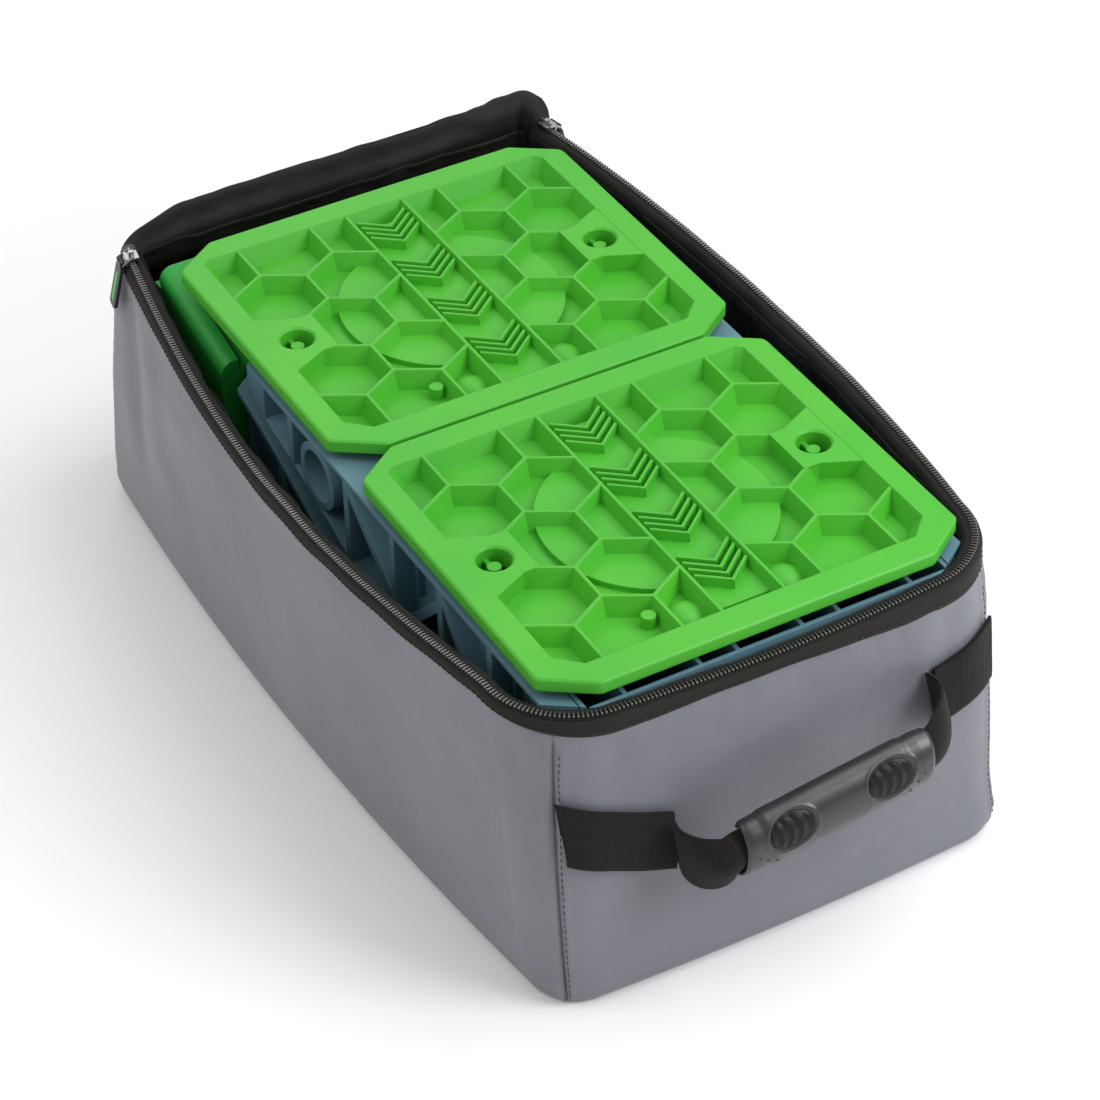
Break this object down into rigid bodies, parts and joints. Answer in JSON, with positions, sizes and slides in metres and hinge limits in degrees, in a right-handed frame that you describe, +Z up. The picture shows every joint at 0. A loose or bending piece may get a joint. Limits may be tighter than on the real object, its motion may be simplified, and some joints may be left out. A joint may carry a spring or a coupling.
{
  "type": "wheel levelling kit in a carry bag",
  "caption": "Open zip-top fabric carry bag with a webbing handle, holding honeycomb ground mats, nested curved wheel levelers and wedge chocks.",
  "frame": {"origin": "centre of the bag's base, on the surface the bag stands on", "axes": "+X along the bag towards the end with the carry handle, +Z up"},
  "size_m": [0.6306, 0.343, 0.2014],
  "materials": {
    "bag_fabric": "coarse coated weave",
    "black_lining": "smooth black coated lining",
    "black_binding": "black grosgrain tape",
    "webbing": "heavy black woven webbing",
    "zip_coil": "black nylon coil",
    "zip_metal": "dark nickel",
    "pull_black": "black moulded",
    "pull_green": "green moulded",
    "grip_black": "black satin moulded",
    "grip_pad": "black ribbed rubber",
    "mat_green": "bright green moulded, faint grain",
    "chock_green": "bright green moulded, faint grain",
    "leveler_blue": "blue-grey moulded, faint grain"
  },
  "bodies": {
    "bag": {"bag_base_panel": "bag_fabric", "bag_front_panel": "bag_fabric", "bag_rear_panel": "bag_fabric", "bag_left_panel": "bag_fabric", "bag_right_panel": "bag_fabric", "bag_lining": "black_lining", "rim_binding": "black_binding", "zip_tape_body": "black_binding", "zip_coil_body": "zip_coil", "lid_hinge_strip": "black_lining", "zip_end_tab_left": "black_binding", "zip_end_tab_right": "black_binding", "handle_anchor_left": "webbing", "handle_anchor_right": "webbing"},
    "lid_rear": {"lid_panel_rear": "bag_fabric", "lid_lining_rear": "black_lining", "lid_binding_rear": "black_binding", "lid_zip_coil_rear": "zip_coil"},
    "lid_second": {"lid_panel_second": "bag_fabric", "lid_lining_second": "black_lining", "lid_binding_second": "black_binding", "lid_zip_coil_second": "zip_coil"},
    "lid_third": {"lid_panel_third": "bag_fabric", "lid_lining_third": "black_lining", "lid_binding_third": "black_binding", "lid_zip_coil_third": "zip_coil"},
    "lid_front": {"lid_panel_front": "bag_fabric", "lid_lining_front": "black_lining", "lid_binding_front": "black_binding", "lid_zip_coil_front": "zip_coil"},
    "slider_left": {"zip_slider_left": "zip_metal"},
    "slider_right": {"zip_slider_right": "zip_metal"},
    "loop_left": {"pull_loop_left": "zip_metal"},
    "loop_right": {"pull_loop_right": "zip_metal"},
    "tab_left": {"pull_tab_left": "pull_black", "pull_stripe_left": "pull_green"},
    "tab_right": {"pull_tab_right": "pull_black", "pull_stripe_right": "pull_green"},
    "handle": {"handle_webbing": "webbing", "handle_grip": "grip_black", "grip_finger_pads": "grip_pad"},
    "leveler_lower": {"leveler_lower": "leveler_blue"},
    "leveler_upper": {"leveler_upper": "leveler_blue"},
    "chock_lower": {"chock_lower": "chock_green"},
    "chock_upper": {"chock_upper": "chock_green"},
    "mat_rear": {"mat_rear": "mat_green"},
    "mat_front": {"mat_front": "mat_green"}
  },
  "joints": [
    {"name": "lid_hinge", "type": "hinge", "parent": "bag", "child": "lid_rear", "pos_m": [-0.2615, 0, 0.202], "axis": [0, -1, 0], "range_deg": [-257.54, 0]},
    {"name": "lid_fold_first", "type": "hinge", "parent": "lid_rear", "child": "lid_second", "pos_m": [-0.28718, 0, 0.02884], "axis": [0, -1, 0], "range_deg": [0, 174.5]},
    {"name": "lid_fold_second", "type": "hinge", "parent": "lid_second", "child": "lid_third", "pos_m": [-0.27718, 0, 0.15858], "axis": [0, -1, 0], "range_deg": [-180, 0]},
    {"name": "lid_fold_third", "type": "hinge", "parent": "lid_third", "child": "lid_front", "pos_m": [-0.29663, 0, 0.04712], "axis": [0, -1, 0], "range_deg": [0, 173.9]},
    {"name": "slider_left_travel", "type": "hinge", "parent": "bag", "child": "slider_left", "pos_m": [0.00006, 1.18966, 0.19], "axis": [0, 0, 1], "range_deg": [0, 18.5]},
    {"name": "slider_right_travel", "type": "hinge", "parent": "bag", "child": "slider_right", "pos_m": [0.00006, -1.18966, 0.19], "axis": [0, 0, -1], "range_deg": [0, 18.5]},
    {"name": "loop_left_swing", "type": "hinge", "parent": "slider_left", "child": "loop_left", "pos_m": [-0.238, -0.14508, 0.19405], "axis": [-0.9845, 0.1756, 0], "range_deg": [0, 110]},
    {"name": "loop_right_swing", "type": "hinge", "parent": "slider_right", "child": "loop_right", "pos_m": [-0.238, 0.14508, 0.19405], "axis": [0.9845, 0.1756, 0], "range_deg": [0, 110]},
    {"name": "tab_left_swing", "type": "hinge", "parent": "loop_left", "child": "tab_left", "pos_m": [-0.23916, -0.15161, 0.18958], "axis": [-0.9845, 0.1756, 0], "range_deg": [0, 70]},
    {"name": "tab_right_swing", "type": "hinge", "parent": "loop_right", "child": "tab_right", "pos_m": [-0.23916, 0.15161, 0.18958], "axis": [0.9845, 0.1756, 0], "range_deg": [0, 70]},
    {"name": "handle_swing", "type": "hinge", "parent": "bag", "child": "handle", "pos_m": [0.2848, 0.01, 0.1065], "axis": [0, 0.9905, 0.1372], "range_deg": [-50, 45]},
    {"name": "leveler_lower_lift", "type": "slide", "parent": "bag", "child": "leveler_lower", "axis": [0, 0, 1], "range_m": [0, 0.22]},
    {"name": "chock_lower_lift", "type": "slide", "parent": "leveler_lower", "child": "chock_lower", "axis": [0, 0, 1], "range_m": [0, 0.2]},
    {"name": "chock_upper_lift", "type": "slide", "parent": "chock_lower", "child": "chock_upper", "axis": [0, 0, 1], "range_m": [0, 0.19]},
    {"name": "leveler_upper_lift", "type": "slide", "parent": "chock_upper", "child": "leveler_upper", "axis": [0, 0, 1], "range_m": [0, 0.19]},
    {"name": "mat_rear_lift", "type": "slide", "parent": "leveler_upper", "child": "mat_rear", "axis": [0, 0, 1], "range_m": [0, 0.1]},
    {"name": "mat_front_lift", "type": "slide", "parent": "leveler_upper", "child": "mat_front", "axis": [0, 0, 1], "range_m": [0, 0.1]}
  ],
  "couplings": [
    {"joint": "lid_fold_first", "follows": "lid_hinge", "ratio": -0.67757},
    {"joint": "lid_fold_second", "follows": "lid_hinge", "ratio": 0.69892},
    {"joint": "lid_fold_third", "follows": "lid_hinge", "ratio": -0.67524}
  ]
}
